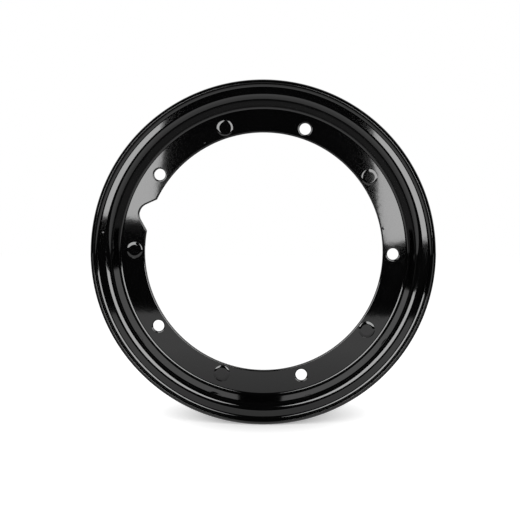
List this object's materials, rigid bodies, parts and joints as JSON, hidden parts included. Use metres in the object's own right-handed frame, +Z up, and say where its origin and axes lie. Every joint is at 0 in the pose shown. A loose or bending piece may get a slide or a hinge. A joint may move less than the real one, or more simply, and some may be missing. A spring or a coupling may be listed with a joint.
{
  "type": "scooter wheel rim",
  "caption": "Divided scooter wheel rim in gloss black pressed steel: flanged halves with rolled lips, clamped back to back by studs and nuts, with a hub bore, valve notch and bolt holes.",
  "frame": {"origin": "on the wheel's axle, midway between the two lips of the rim", "axes": "+Y along the axle from the outboard side to the drum side, +Z up, +X to the right seen from outboard"},
  "size_m": [0.2799, 0.0762, 0.28],
  "materials": {
    "rim_paint": "gloss black",
    "stud_steel": "zinc plated, heads painted black with the rim",
    "washer_steel": "zinc plated",
    "nut_steel": "zinc plated"
  },
  "bodies": {
    "root": {"outer_half_rim": "rim_paint", "inner_half_rim": "rim_paint", "clamp_studs": "stud_steel", "spring_washers": "washer_steel", "clamp_nuts": "nut_steel"}
  },
  "joints": []
}
